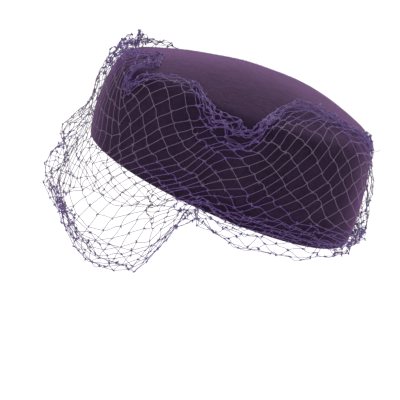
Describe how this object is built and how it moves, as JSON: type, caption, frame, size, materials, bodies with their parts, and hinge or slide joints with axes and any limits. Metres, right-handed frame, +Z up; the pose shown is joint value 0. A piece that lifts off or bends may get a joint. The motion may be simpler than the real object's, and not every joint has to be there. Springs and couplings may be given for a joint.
{
  "type": "pillbox hat",
  "caption": "Blocked felt pillbox hat, hollow and open below, with a coarse diamond veil net that hangs over the face in front.",
  "frame": {"origin": "centre of the head opening, in the plane of the rim", "axes": "+Z up through the tip, -Y to the front, +X to the wearer's left"},
  "size_m": [0.1824, 0.2319, 0.1561],
  "materials": {
    "felt": "soft brushed wool felt",
    "veil": "knotted net of fine twisted thread"
  },
  "bodies": {
    "root": {"felt_crown": "felt", "veil_net": "veil"}
  },
  "joints": []
}
